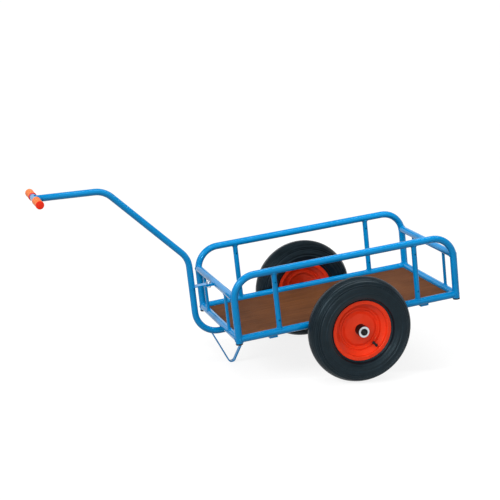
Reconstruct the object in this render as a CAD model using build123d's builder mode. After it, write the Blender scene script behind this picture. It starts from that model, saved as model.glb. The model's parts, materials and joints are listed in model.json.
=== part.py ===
from build123d import *
import math
import os

os.makedirs("parts", exist_ok=True)

# The cart is drawn level: +X forward to the handle, +Y to its left, +Z up.
# The drawing's origin is the middle of the load bed, at the bottom rails' centre height.
# At the end every piece is tipped nose-down, until the wheels and the stand's foot share one floor.

# Welded tube frame
FRAME_LENGTH = 877.0      # between the corner posts' centres
FRAME_WIDTH = 480.0       # between the two side hoops' centres
HOOP_HEIGHT = 233.0       # centre of the hoop's top rail over the bottom rail's centre
PANEL_HEIGHT = 158.0      # centre of the end panels' top rail over the bottom rail's centre
FRAME_TUBE = 26.9
FRAME_WALL = 2.3
HOOP_BEND = 85.0
POST_DROP = 14.0          # how far a post runs on below the bottom rail's centre
SIDE_BAR = 20.0
SIDE_BAR_WALL = 2.0
SIDE_BAR_INSET = 159.5    # from the nearest post's centre
PANEL_BAR = 12.0
PANEL_BAR_WALL = 1.5
PANEL_BAR_INSET = 101.0   # from the nearest post's centre
PANEL_BAR_OUT = 5.0       # outward of the end rails' centres
PIN_HOLE = 6.0            # cross-drilled near both ends of a side bar
PIN_HOLE_INSET = 30.0     # from the rail's surface
CAP_REACH = 5.5           # the plastic cap's head below the post
CAP_PLUG = 14.0
FIT = 0.1                 # gap at a notched or plugged seat

# Load bed
DECK_THICK = 10.0
DECK_DROP = 3.5           # deck's top face under the bottom rail's centre
DECK_MARGIN = 1.0
CROSS_WIDTH = 32.0
CROSS_THICK = 8.0
CROSS_AHEAD = 26.0        # nearer the post than the side bar
CROSS_LAP = 1.2           # past the side rail's centre

# Drawbar, its handle and its tie
BAR_TUBE = 25.0
BAR_WALL = 2.5
BAR_BEND = 88.0
BAR_SINK = 31.0           # drawbar's and axle's centre height under the bottom rail's centre
BAR_AHEAD = 93.5          # the upright stretch of the drawbar, ahead of the front posts
BAR_KNEE = 272.0
NECK_REACH = 280.0        # ahead of the upright stretch
NECK_HEIGHT = 581.0
HANDLE_REACH = 533.0      # ahead of the upright stretch
HANDLE_HEIGHT = 596.0
CROSSBAR_LENGTH = 239.0
GRIP_LENGTH = 83.0
GRIP_TUBE = 31.0
GRIP_END = 3.0
TIE_WIDTH = 30.0
STRAP_THICK = 4.0
STRAP_GAP = 1.0           # between the strap's end and the panel rail
LUG_THICK = 5.0
LUG_DROP = 1.0            # the lug's top under the panel rail's centre
LUG_REACH = 28.0          # ahead of the panel rail's surface
TIE_BOLT_INSET = 14.0     # ahead of the panel rail's surface
TIE_BOLT_HOLE = 9.0

# Stand: one flat bar bent to a V under the drawbar. Each place is behind the drawbar's upright
# stretch, and over the bottom rail's centre. The legs' centre lines would meet at the corner.
STAND_WIDTH = 17.0
STAND_THICK = 5.0
STAND_BEND = 16.6         # outer radius of the foot
STAND_FRONT = (56.6, -38.0)
STAND_CORNER = (117.8, -180.4)
STAND_REAR = (203.0, -41.0)

# Wheels and axle
AXLE_PLACE = -6.7         # the axle ahead of mid-length
AXLE = 25.0
AXLE_PLATE = 8.0
AXLE_PLATE_TOP = 90.0
AXLE_PLATE_FOOT = 20.0    # plate's radius round the axle
COLLAR_RADIUS = 17.0
TYRE_RADIUS = 200.0
TYRE_WIDTH = 98.0
TYRE_CLEARANCE = 8.75     # between the tyre and the side rail
TREAD_WIDTH = 82.0
SHOULDER_DROP = 15.0
TYRE_WALL = 9.0
BEAD_SEAT = 101.6
BEAD_HEEL = 4.0
FLANGE_RADIUS = 114.6
RIM_WIDTH = 56.8
RIM_SHEET = 2.5
RIM_BEND = 2.5
RIM_LAND = 12.0           # the flat that the tyre's bead sits on, in from the flange
RIM_WELL = 84.0
WELL_WIDTH = 10.0
HUB_RADIUS = 21.5
HUB_HALF = 42.0
WASHER_RADIUS = 20.5
WASHER_THICK = 3.0
AXLE_CAP = 13.0
AXLE_CAP_REACH = 4.0
RUNNING = 0.05            # radial clearance of hub on axle

# The rim's pressed disc, as (outboard of the wheel's middle plane, inside the well's radius)
DISC_RINGS = ((0.0, 3.0), (2.6, 7.5), (-4.5, 13.5), (-4.5, 18.0), (2.0, 26.0))
DISC_RISE = 9.6           # the disc's middle, where the hub goes through
DISC_BEND = 2.5

# Valve of the inner tube, leaning out of the disc; its places are (outboard, past the well's radius)
VALVE_TURN = 37.3         # degrees behind straight down
VALVE_FOOT = (7.0, -10.5)
VALVE_TIP = (18.5, 9.5)
VALVE_STEPS = ((0.0, 0.3, 11.0), (0.25, 1.0, 8.0), (0.68, 1.0, 9.5))   # part of the length, diameter

tube_radius = FRAME_TUBE / 2
half_length = FRAME_LENGTH / 2
half_width = FRAME_WIDTH / 2
side_bar_place = half_length - SIDE_BAR_INSET
bar_riser = half_length + BAR_AHEAD
wheel_place = half_width + tube_radius + TYRE_CLEARANCE + TYRE_WIDTH / 2
reach = 2 * FRAME_LENGTH
sides = {"left": 1, "right": -1}
ends = {"front": 1, "rear": -1}
pieces = {}


def upright_axis(x, y):
    """A plane across an upright tube's centre line."""
    return Plane(origin=(x, y, 0), z_dir=(0, 0, 1))


def length_axis(y, z):
    """A plane across a tube that runs along the cart."""
    return Plane(origin=(0, y, z), z_dir=(1, 0, 0))


def width_axis(x, z):
    """A plane across a tube that runs across the cart."""
    return Plane(origin=(x, 0, z), z_dir=(0, 1, 0))


def side_view(y):
    """A plane drawn as seen from the cart's right: first forward, then up."""
    return Plane(origin=(0, y, 0), x_dir=(1, 0, 0), z_dir=(0, -1, 0))


def notched_tube(across, first, last, outer, wall, seats=(), spaces=(), pin_holes=()):
    """A straight tube between two places on its axis, notched to sit on the tubes it meets.

    Seats are straight tubes, each an axis plane and a diameter; spaces are solids to stay out of.
    """
    with BuildPart() as tube:
        with BuildSketch(across.offset(first)):
            Circle(outer / 2)
            Circle(outer / 2 - wall, mode=Mode.SUBTRACT)
        extrude(amount=last - first)
        for seat_axis, seat_diameter in seats:
            with BuildSketch(seat_axis.offset(-reach)):
                Circle(seat_diameter / 2 + FIT)
            extrude(amount=2 * reach, mode=Mode.SUBTRACT)
        for space in spaces:
            add(space, mode=Mode.SUBTRACT)
        for hole_axis in pin_holes:
            with BuildSketch(hole_axis.offset(-reach)):
                Circle(PIN_HOLE / 2)
            extrude(amount=2 * reach, mode=Mode.SUBTRACT)
    return tube


def disc_stack(plane, steps):
    """Coaxial discs along a plane's normal: each step is (from, to, radius)."""
    with BuildPart() as stack:
        for first, last, radius in steps:
            with BuildSketch(plane.offset(first)):
                Circle(radius)
            extrude(amount=last - first)
    return stack


def inset(arc, point, depth):
    """The point of an arc, moved towards the arc's centre."""
    centre = arc.arc_center
    return centre + (Vector(*point) - centre) * (1 - depth / arc.radius)


# Side hoops: two posts and the top rail in one bent tube
hoop_spaces = []
for side, way in sides.items():
    y = way * half_width
    hoop_foot = Plane(origin=(-half_length, y, -POST_DROP), z_dir=(0, 0, 1))
    with BuildPart() as hoop:
        with BuildLine(side_view(y)) as hoop_line:
            FilletPolyline(
                (-half_length, -POST_DROP),
                (-half_length, HOOP_HEIGHT),
                (half_length, HOOP_HEIGHT),
                (half_length, -POST_DROP),
                radius=HOOP_BEND,
            )
        with BuildSketch(hoop_foot):
            Circle(tube_radius)
            Circle(tube_radius - FRAME_WALL, mode=Mode.SUBTRACT)
        sweep(path=hoop_line.line)
    pieces[f"side_hoop_{side}"] = hoop
    with BuildPart() as hoop_space:
        with BuildSketch(hoop_foot):
            Circle(tube_radius + FIT)
        sweep(path=hoop_line.line)
    hoop_spaces.append(hoop_space.part)

# Post caps: a plug inside the tube and a head the width of the tube
for side, way in sides.items():
    for end, fore in ends.items():
        foot = Plane(origin=(fore * half_length, way * half_width, -POST_DROP), z_dir=(0, 0, 1))
        pieces[f"post_cap_{end}_{side}"] = disc_stack(
            foot,
            [(-CAP_REACH, 0, tube_radius), (0, CAP_PLUG, tube_radius - FRAME_WALL - FIT)],
        )

# Bottom rails along the sides, notched on the posts
for side, way in sides.items():
    y = way * half_width
    posts = [(upright_axis(fore * half_length, y), FRAME_TUBE) for fore in ends.values()]
    pieces[f"side_rail_{side}"] = notched_tube(
        length_axis(y, 0), -half_length, half_length, FRAME_TUBE, FRAME_WALL, posts
    )

# Bottom rails and panel rails across the ends
for end, fore in ends.items():
    x = fore * half_length
    posts = [(upright_axis(x, way * half_width), FRAME_TUBE) for way in sides.values()]
    side_rails = [(length_axis(way * half_width, 0), FRAME_TUBE) for way in sides.values()]
    pieces[f"end_rail_{end}"] = notched_tube(
        width_axis(x, 0), -half_width, half_width, FRAME_TUBE, FRAME_WALL, posts + side_rails
    )
    pieces[f"panel_rail_{end}"] = notched_tube(
        width_axis(x, PANEL_HEIGHT),
        -half_width,
        half_width,
        FRAME_TUBE,
        FRAME_WALL,
        spaces=hoop_spaces,
    )

# Side bars between bottom rail and hoop, with a small cross hole near each end
for side, way in sides.items():
    for end, fore in ends.items():
        x = fore * side_bar_place
        y = way * half_width
        rails = [(length_axis(y, 0), FRAME_TUBE), (length_axis(y, HOOP_HEIGHT), FRAME_TUBE)]
        hole_height = tube_radius + PIN_HOLE_INSET
        pin_holes = [width_axis(x, height) for height in (hole_height, HOOP_HEIGHT - hole_height)]
        pieces[f"side_bar_{end}_{side}"] = notched_tube(
            upright_axis(x, y),
            0,
            HOOP_HEIGHT,
            SIDE_BAR,
            SIDE_BAR_WALL,
            seats=rails,
            pin_holes=pin_holes,
        )

# Thinner bars in the end panels
for end, fore in ends.items():
    for side, way in sides.items():
        x = fore * half_length
        rails = [(width_axis(x, 0), FRAME_TUBE), (width_axis(x, PANEL_HEIGHT), FRAME_TUBE)]
        bar = upright_axis(x + fore * PANEL_BAR_OUT, way * (half_width - PANEL_BAR_INSET))
        pieces[f"panel_bar_{end}_{side}"] = notched_tube(
            bar, 0, PANEL_HEIGHT, PANEL_BAR, PANEL_BAR_WALL, rails
        )

# Deck board, lying inside the bottom rails on the cross members
deck_under = -DECK_DROP - DECK_THICK
deck_gap = tube_radius + DECK_MARGIN
with BuildPart() as deck:
    with BuildSketch(Plane.XY.offset(deck_under)):
        Rectangle(FRAME_LENGTH - 2 * deck_gap, FRAME_WIDTH - 2 * deck_gap)
    extrude(amount=DECK_THICK)
pieces["deck"] = deck

# Cross members: flat bars under the side rails; the front one is notched for the drawbar
bar_axis = length_axis(0, -BAR_SINK)
for end, fore in ends.items():
    x = fore * (side_bar_place + CROSS_AHEAD)
    with BuildPart() as cross:
        with BuildSketch(Plane(origin=(x, 0, deck_under), z_dir=(0, 0, -1))):
            Rectangle(CROSS_WIDTH, FRAME_WIDTH + 2 * CROSS_LAP)
        extrude(amount=CROSS_THICK)
        if end == "front":
            with BuildSketch(bar_axis):
                Circle(BAR_TUBE / 2 + FIT)
            extrude(amount=half_length, mode=Mode.SUBTRACT)
    pieces[f"cross_member_{end}"] = cross

# Drawbar: one bent tube from the axle, forward under the bed, up and over to the handle
axle_line = width_axis(AXLE_PLACE, -BAR_SINK)
handle_place = bar_riser + HANDLE_REACH
crossbar_line = width_axis(handle_place, HANDLE_HEIGHT)
bar_start = Plane(origin=(AXLE_PLACE, 0, -BAR_SINK), z_dir=(1, 0, 0))
with BuildPart() as drawbar:
    with BuildLine(side_view(0)) as drawbar_line:
        FilletPolyline(
            (AXLE_PLACE, -BAR_SINK),
            (bar_riser, -BAR_SINK),
            (bar_riser, BAR_KNEE),
            (bar_riser + NECK_REACH, NECK_HEIGHT),
            (handle_place, HANDLE_HEIGHT),
            radius=BAR_BEND,
        )
    with BuildSketch(bar_start):
        Circle(BAR_TUBE / 2)
        Circle(BAR_TUBE / 2 - BAR_WALL, mode=Mode.SUBTRACT)
    sweep(path=drawbar_line.line)
    for seat, seat_diameter in ((axle_line, AXLE), (crossbar_line, BAR_TUBE)):
        with BuildSketch(seat.offset(-reach)):
            Circle(seat_diameter / 2 + FIT)
        extrude(amount=2 * reach, mode=Mode.SUBTRACT)
pieces["drawbar"] = drawbar
with BuildPart() as bar_space:
    with BuildSketch(bar_start):
        Circle(BAR_TUBE / 2 + FIT)
    sweep(path=drawbar_line.line)

# Crossbar of the handle and its two pushed-on grips
half_crossbar = CROSSBAR_LENGTH / 2
pieces["handle_crossbar"] = notched_tube(
    crossbar_line, -half_crossbar, half_crossbar, BAR_TUBE, BAR_WALL
)
for side, way in sides.items():
    tip = Plane(
        origin=(handle_place, way * (half_crossbar + GRIP_END), HANDLE_HEIGHT), z_dir=(0, -way, 0)
    )
    with BuildPart() as grip:
        with BuildSketch(tip):
            Circle(GRIP_TUBE / 2)
        extrude(amount=GRIP_LENGTH)
        with BuildSketch(tip.offset(GRIP_END - FIT)):
            Circle(BAR_TUBE / 2 + FIT)
        extrude(amount=GRIP_LENGTH, mode=Mode.SUBTRACT)
        fillet(grip.faces().sort_by(Axis.Y)[0 if way < 0 else -1].edges(), GRIP_END - 0.5)
    pieces[f"grip_{side}"] = grip

# Tie between the front panel rail and the drawbar: a lug on the rail, and a strap bolted on the lug
panel_face = half_length + tube_radius
lug_top = PANEL_HEIGHT - LUG_DROP
bolt_place = Plane(origin=(panel_face + TIE_BOLT_INSET, 0, lug_top), z_dir=(0, 0, 1))
strap_rear = panel_face + STRAP_GAP
with BuildPart() as lug:
    with BuildSketch(Plane.XY.offset(lug_top)):
        with Locations(((half_length + panel_face + LUG_REACH) / 2, 0)):
            Rectangle(tube_radius + LUG_REACH, TIE_WIDTH)
        with Locations(bolt_place.origin):
            Circle(TIE_BOLT_HOLE / 2, mode=Mode.SUBTRACT)
    extrude(amount=-LUG_THICK)
    with BuildSketch(width_axis(half_length, PANEL_HEIGHT).offset(-reach)):
        Circle(tube_radius + FIT)
    extrude(amount=2 * reach, mode=Mode.SUBTRACT)
pieces["tie_lug"] = lug
with BuildPart() as strap:
    with BuildSketch(Plane.XY.offset(lug_top + FIT)):
        with Locations(((bar_riser + strap_rear) / 2, 0)):
            Rectangle(bar_riser - strap_rear, TIE_WIDTH)
        with Locations((bar_riser, 0)):
            Circle(BAR_TUBE / 2 + FIT, mode=Mode.SUBTRACT)
        with Locations(bolt_place.origin):
            Circle(TIE_BOLT_HOLE / 2, mode=Mode.SUBTRACT)
    extrude(amount=STRAP_THICK)
pieces["tie_strap"] = strap

# Stand: the V's centre line runs from the drawbar down round the foot and back up
stand_points = [(bar_riser - back, height) for back, height in (STAND_FRONT, STAND_CORNER, STAND_REAR)]
with BuildPart() as stand:
    with BuildSketch(side_view(STAND_WIDTH / 2)):
        with BuildLine() as stand_line:
            FilletPolyline(*stand_points, radius=STAND_BEND - STAND_THICK / 2)
            foot_centre = stand_line.edges().filter_by(GeomType.CIRCLE)[0].arc_center
            offset(amount=STAND_THICK / 2, side=Side.BOTH, kind=Kind.INTERSECTION)
        make_face()
    extrude(amount=STAND_WIDTH)
    add(bar_space.part, mode=Mode.SUBTRACT)
pieces["stand"] = stand

# Axle, its two plates under the side rails, and the fittings at its ends
axle_end = wheel_place + HUB_HALF + WASHER_THICK + 2 * FIT
pieces["axle"] = disc_stack(axle_line, [(-axle_end, axle_end, AXLE / 2)])
plate_top = -tube_radius - FIT
for side, way in sides.items():
    y = way * half_width
    with BuildPart() as plate:
        with BuildSketch(side_view(y + AXLE_PLATE / 2)):
            with BuildLine():
                Polyline(
                    (AXLE_PLACE - AXLE_PLATE_TOP / 2, plate_top),
                    (AXLE_PLACE + AXLE_PLATE_TOP / 2, plate_top),
                    (AXLE_PLACE + AXLE_PLATE_FOOT, -BAR_SINK),
                    (AXLE_PLACE - AXLE_PLATE_FOOT, -BAR_SINK),
                    close=True,
                )
            make_face()
            with Locations((AXLE_PLACE, -BAR_SINK)):
                Circle(AXLE_PLATE_FOOT)
                Circle(AXLE / 2 + FIT, mode=Mode.SUBTRACT)
        extrude(amount=AXLE_PLATE)
        with BuildSketch(length_axis(y, 0).offset(-half_length)):
            Circle(tube_radius + FIT)
        extrude(amount=FRAME_LENGTH, mode=Mode.SUBTRACT)
    pieces[f"axle_plate_{side}"] = plate

for side, way in sides.items():
    outward = Plane(origin=(AXLE_PLACE, way * wheel_place, -BAR_SINK), z_dir=(0, way, 0))
    collar_start = half_width + AXLE_PLATE / 2 - wheel_place + FIT
    with BuildPart() as collar:
        with BuildSketch(outward.offset(collar_start)):
            Circle(COLLAR_RADIUS)
            Circle(AXLE / 2 + FIT, mode=Mode.SUBTRACT)
        extrude(amount=-HUB_HALF - FIT - collar_start)
        with BuildSketch(outward.offset(HUB_HALF + FIT)):
            Circle(WASHER_RADIUS)
            Circle(AXLE / 2 + FIT, mode=Mode.SUBTRACT)
        extrude(amount=WASHER_THICK)
    pieces[f"axle_collar_{side}"] = collar
    pieces[f"axle_cap_{side}"] = disc_stack(
        outward, [(axle_end - wheel_place + FIT, axle_end - wheel_place + AXLE_CAP_REACH, AXLE_CAP)]
    )

# Wheels: profiles are drawn as (outboard of the wheel's middle plane, radius)
lip = RIM_WIDTH / 2
bead = lip - RIM_SHEET - FIT
skin = RIM_SHEET / 2
belly = (TYRE_WIDTH / 2, (BEAD_SEAT + TYRE_RADIUS) / 2)
shoulder = (TREAD_WIDTH / 2, TYRE_RADIUS - SHOULDER_DROP)
rim_edge = (bead, FLANGE_RADIUS)
disc_points = [(outboard, RIM_WELL - inside) for outboard, inside in DISC_RINGS]
valve_ends = [(outboard, RIM_WELL + past) for outboard, past in (VALVE_FOOT, VALVE_TIP)]
valve_down = Vector(-math.sin(math.radians(VALVE_TURN)), 0, -math.cos(math.radians(VALVE_TURN)))
for side, way in sides.items():
    middle = Vector(AXLE_PLACE, way * wheel_place, -BAR_SINK)
    profile = Plane(origin=middle, x_dir=(0, way, 0), z_dir=(way, 0, 0))
    spin = Axis((AXLE_PLACE, 0, -BAR_SINK), (0, 1, 0))
    with BuildPart() as tyre:
        with BuildSketch(profile):
            with BuildLine():
                TangentArc((0, TYRE_RADIUS), shoulder, tangent=(1, 0))
                out_wall = ThreePointArc(shoulder, belly, rim_edge)
                in_shoulder = inset(out_wall, shoulder, TYRE_WALL)
                in_foot = inset(out_wall, rim_edge, TYRE_WALL)
                Polyline(
                    rim_edge,
                    (bead, BEAD_SEAT + BEAD_HEEL),
                    (bead - BEAD_HEEL, BEAD_SEAT + FIT),
                    (bead - TYRE_WALL, BEAD_SEAT + FIT),
                    (bead - TYRE_WALL, FLANGE_RADIUS),
                    in_foot,
                )
                ThreePointArc(in_foot, inset(out_wall, belly, TYRE_WALL), in_shoulder)
                TangentArc((0, TYRE_RADIUS - TYRE_WALL), in_shoulder, tangent=(1, 0))
                mirror(about=Plane.YZ)
            make_face()
        revolve(axis=spin)
    pieces[f"tyre_{side}"] = tyre

    with BuildPart() as rim:
        with BuildSketch(profile):
            with BuildLine():
                FilletPolyline(
                    (lip - skin, FLANGE_RADIUS - skin),
                    (lip - skin, BEAD_SEAT - skin),
                    (lip - RIM_LAND, BEAD_SEAT - skin),
                    (WELL_WIDTH / 2, RIM_WELL),
                    (-WELL_WIDTH / 2, RIM_WELL),
                    (RIM_LAND - lip, BEAD_SEAT - skin),
                    (skin - lip, BEAD_SEAT - skin),
                    (skin - lip, FLANGE_RADIUS - skin),
                    radius=RIM_BEND,
                )
                offset(amount=skin, side=Side.BOTH)
            make_face()
        with BuildSketch(profile):
            with BuildLine():
                FilletPolyline(
                    (0, RIM_WELL),
                    *disc_points,
                    (DISC_RISE, HUB_RADIUS + FIT + skin),
                    radius=DISC_BEND,
                )
                offset(amount=skin, side=Side.BOTH)
            make_face()
        revolve(axis=spin)
    pieces[f"rim_{side}"] = rim

    with BuildPart() as hub:
        with BuildSketch(profile):
            with Locations((0, (HUB_RADIUS + AXLE / 2 + RUNNING) / 2)):
                Rectangle(2 * HUB_HALF, HUB_RADIUS - AXLE / 2 - RUNNING)
        revolve(axis=spin)
    pieces[f"hub_{side}"] = hub

    start, stop = (
        middle + valve_down * radius + Vector(0, way * outboard, 0) for outboard, radius in valve_ends
    )
    valve_length = (stop - start).length
    with BuildPart() as valve:
        for first, last, diameter in VALVE_STEPS:
            with BuildSketch(Plane(origin=start, z_dir=stop - start).offset(first * valve_length)):
                Circle(diameter / 2)
            extrude(amount=(last - first) * valve_length)
        add(rim.part, mode=Mode.SUBTRACT)
    pieces[f"valve_{side}"] = valve

# Parked stance: nose-down until the stand's foot is as low as the tyres
ahead = foot_centre.X - AXLE_PLACE
below = -BAR_SINK - foot_centre.Y
pitch = math.degrees(
    math.asin((TYRE_RADIUS - STAND_BEND) / math.hypot(ahead, below)) - math.atan2(below, ahead)
)
stance = Rotation(0, pitch, 0)
tipped = {name: piece.part.moved(stance) for name, piece in pieces.items()}
boxes = [piece.bounding_box() for piece in tipped.values()]
rear_reach = min(box.min.X for box in boxes)
front_reach = max(box.max.X for box in boxes)
floor = min(box.min.Z for box in boxes)
settle = Location((-(rear_reach + front_reach) / 2, 0, -floor))
for name, piece in tipped.items():
    parked = piece.moved(settle)
    parked.label = name
    export_step(parked, f"parts/{name}.step")
print(f"nose-down {pitch:.3f} deg, shifted {-(rear_reach + front_reach) / 2:.3f}, {-floor:.3f}")
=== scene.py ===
import json
import math

import bmesh
import bpy
from bpy.props import FloatProperty, FloatVectorProperty, IntProperty, PointerProperty
from mathutils import Matrix, Vector


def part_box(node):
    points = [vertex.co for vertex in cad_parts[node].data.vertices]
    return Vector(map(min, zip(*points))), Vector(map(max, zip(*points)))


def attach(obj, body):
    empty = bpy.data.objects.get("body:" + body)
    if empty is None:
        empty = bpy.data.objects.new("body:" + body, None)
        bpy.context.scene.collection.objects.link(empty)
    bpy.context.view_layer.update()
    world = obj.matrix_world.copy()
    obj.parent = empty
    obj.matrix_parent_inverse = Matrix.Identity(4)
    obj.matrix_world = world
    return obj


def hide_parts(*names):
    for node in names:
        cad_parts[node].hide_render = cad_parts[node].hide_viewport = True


bl_info = {
    "name": "Hand cart dressing",
    "version": (1, 0, 0),
    "blender": (4, 5, 0),
    "location": "View3D > Sidebar > Hand cart",
    "description": "Finishes, welds, tyres and small fittings for a two-wheeled hand cart",
    "category": "Object",
}

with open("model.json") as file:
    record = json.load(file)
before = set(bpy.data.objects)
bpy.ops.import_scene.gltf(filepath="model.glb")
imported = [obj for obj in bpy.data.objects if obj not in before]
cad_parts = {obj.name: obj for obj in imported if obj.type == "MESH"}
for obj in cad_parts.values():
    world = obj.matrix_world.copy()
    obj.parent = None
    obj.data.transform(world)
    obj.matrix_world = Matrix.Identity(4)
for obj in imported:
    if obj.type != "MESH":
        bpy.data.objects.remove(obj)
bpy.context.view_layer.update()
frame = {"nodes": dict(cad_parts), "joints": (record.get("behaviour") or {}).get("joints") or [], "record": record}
nodes = frame["nodes"]
mounts = {mount["name"]: mount for mount in frame["record"]["mounts"]}
wheels = {joint["child"].split("_")[1]: Vector(joint["pos_m"]) for joint in frame["joints"]}

# The cart is parked nose-down. Sizes are worked out in a level bed frame: +X ahead, +Y left, +Z up,
# with its origin at mid-length, at the height of the bottom rails' centres.
DECK_DROP = 0.0035        # deck's top face under the bottom rails' centres
up = Vector(mounts["deck_top"]["axis"]).normalized()
across = Vector((0.0, 1.0, 0.0))
ahead = across.cross(up)
bed = Matrix((ahead, across, up)).transposed().to_4x4()
bed.translation = Vector(mounts["deck_top"]["pos_m"]) + up * DECK_DROP

X, Y, Z = Vector((1.0, 0.0, 0.0)), Vector((0.0, 1.0, 0.0)), Vector((0.0, 0.0, 1.0))
SIDES = {"left": 1, "right": -1}
ENDS = {"front": 1, "rear": -1}


def hex_colour(code):
    """An sRGB hex colour as linear red, green and blue."""
    levels = [int(code[place:place + 2], 16) / 255 for place in (0, 2, 4)]
    return [level / 12.92 if level <= 0.04045 else ((level + 0.055) / 1.055) ** 2.4 for level in levels]


def bed_box(name):
    """Lowest and highest corner of a CAD node in the level bed frame."""
    level = bed.inverted()
    corners = [level @ vertex.co for vertex in nodes[name].data.vertices]
    return (
        Vector([min(corner[axis] for corner in corners) for axis in range(3)]),
        Vector([max(corner[axis] for corner in corners) for axis in range(3)]),
    )


def size(name, default, description, **more):
    """A length that the user can change, in metres."""
    return FloatProperty(
        name=name, default=default, description=description, unit="LENGTH", precision=4, **more
    )


def colour(name, code, description):
    """A colour that the user can change."""
    return FloatVectorProperty(
        name=name, default=hex_colour(code), description=description, subtype="COLOR", min=0, max=1
    )


def light(name, default, description, **more):
    """A lamp's strength that the user can change."""
    return FloatProperty(name=name, default=default, min=0, description=description, **more)


class HandCartSettings(bpy.types.PropertyGroup):
    """Sizes and colours of the hand cart's dressing."""

    frame_blue: colour("Frame blue", "007CBA", "Powder coat on tubes, drawbar, stand and plates")
    rim_red: colour("Rim red", "E8391B", "Enamel on the pressed rims")
    hub_black: colour("Hub black", "0C0D0E", "Enamel on the hub barrels")
    tyre_black: colour("Tyre black", "0E181E", "Moulded rubber of the tyres")
    grip_orange: colour("Grip orange", "F47E40", "Moulded vinyl of the grips' barrels")
    # Painted shade: the red on the grips' end faces stands in for the shade on the orange vinyl
    grip_shade_red: colour("Grip red", "EC2E12", "Moulded vinyl of the grips' end faces")
    deck_brown: colour("Deck brown", "5E381E", "Resin film on the deck board")
    zinc: colour("Zinc", "C9CDD1", "Plated axle, collars and bolt")
    plastic_black: colour("Plastic black", "17181A", "Post caps, axle caps and valves")
    weld_radius: size("Weld bead", 0.0025, "Half the width of a weld bead")
    weld_pitch: size("Weld ripple", 0.0035, "From one ripple of a weld bead to the next")
    rib_pitch: size("Tread rib pitch", 0.0086, "From one rib of the tread to the next")
    groove_width: size("Groove width", 0.003, "Width of a groove of the tread")
    groove_depth: size("Groove depth", 0.0024, "Depth of a groove of the tread")
    groove_pairs: IntProperty(
        name="Groove pairs", default=5, min=1, max=8, description="Grooves on each side of the crown"
    )
    bolt_flats: size("Bolt flats", 0.013, "Across the flats of the tie bolt's head and nut")
    key_light: light("Key light", 1.55, "Lamp ahead and above, in watts a square metre")
    box_light: light("Soft box", 20.0, "Soft box overhead, in watts", unit="POWER")
    window_light: light("Window light", 0.5, "Small window in front, in watts a square metre")
    front_light: light("Front light", 1.3, "Wide lamp in front, in watts a square metre")
    side_light: light("Side light", 0.35, "Wide lamp on the far side, in watts a square metre")
    room_light: light("Room light", 0.4, "Even light from all round")


def add(tree, kind, inputs=None, **settings):
    """Adds a node with its settings, and fills or links its inputs."""
    made = tree.nodes.new(kind)
    for name, value in settings.items():
        setattr(made, name, value)
    for name, value in (inputs or {}).items():
        if isinstance(value, bpy.types.NodeSocket):
            tree.links.new(value, made.inputs[name])
        else:
            made.inputs[name].default_value = value
    return made


def start_finish(name):
    """An empty material, its node tree and the place on the object that patterns start from."""
    if name in bpy.data.materials:
        bpy.data.materials.remove(bpy.data.materials[name])
    material = bpy.data.materials.new(name)
    material.use_nodes = True
    tree = material.node_tree
    tree.nodes.clear()
    return material, tree, add(tree, "ShaderNodeTexCoord").outputs["Object"]


def shade(base, factor):
    """A lighter or darker shade of a colour."""
    return (*[min(1.0, level * factor) for level in base], 1)


# Input and output numbers of the colour mix node, whose sockets share their names
SHARE, FIRST, SECOND, MIXED = 0, 6, 7, 2


def powder_coat(look):
    """Polyester powder coat, gloss, baked on welded steel tube.

    It gives the eye an even bright blue, a soft line of light along each tube and a faint orange peel.
    """
    material, tree, place = start_finish("gloss powder coat")
    cloud = add(tree, "ShaderNodeTexNoise", {"Vector": place, "Scale": 1 / 0.09, "Detail": 3.0})
    tone = add(
        tree,
        "ShaderNodeMix",
        {
            SHARE: cloud.outputs["Fac"],
            FIRST: shade(look.frame_blue, 0.88),
            SECOND: shade(look.frame_blue, 1.12),
        },
        data_type="RGBA",
    )
    # Real orange peel is about 2 mm wide; at 5 mm it still shows in the render
    peel = add(tree, "ShaderNodeTexNoise", {"Vector": place, "Scale": 1 / 0.005, "Detail": 1.0})
    waves = add(
        tree, "ShaderNodeBump", {"Height": peel.outputs["Fac"], "Distance": 0.00006, "Strength": 1.0}
    )
    coat = add(
        tree,
        "ShaderNodeBsdfPrincipled",
        {
            "Base Color": tone.outputs[MIXED],
            "Roughness": 0.1,
            "IOR": 1.5,
            "Specular IOR Level": 0.4,
            "Specular Tint": (0.25, 0.65, 0.9, 1.0),
            "Normal": waves.outputs["Normal"],
        },
    )
    add(tree, "ShaderNodeOutputMaterial", {"Surface": coat.outputs[0]})
    return material


def rim_enamel(look):
    """Stove enamel, gloss, sprayed on pressed and spun steel.

    It gives the eye a warm wet red, lights on the pressed rings, and the soft dents of spinning.
    """
    material, tree, place = start_finish("gloss stove enamel")
    cloud = add(tree, "ShaderNodeTexNoise", {"Vector": place, "Scale": 1 / 0.05, "Detail": 2.0})
    tone = add(
        tree,
        "ShaderNodeMix",
        {
            SHARE: cloud.outputs["Fac"],
            FIRST: shade(look.rim_red, 0.85),
            SECOND: shade(look.rim_red, 1.1),
        },
        data_type="RGBA",
    )
    dents = add(tree, "ShaderNodeTexNoise", {"Vector": place, "Scale": 1 / 0.011, "Detail": 1.0})
    waves = add(
        tree, "ShaderNodeBump", {"Height": dents.outputs["Fac"], "Distance": 0.0009, "Strength": 1.0}
    )
    coat = add(
        tree,
        "ShaderNodeBsdfPrincipled",
        {
            "Base Color": tone.outputs[MIXED],
            "Roughness": 0.12,
            "IOR": 1.52,
            "Specular IOR Level": 0.22,
            "Specular Tint": (1.0, 0.45, 0.35, 1.0),
            "Normal": waves.outputs["Normal"],
        },
    )
    add(tree, "ShaderNodeOutputMaterial", {"Surface": coat.outputs[0]})
    return material


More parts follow.
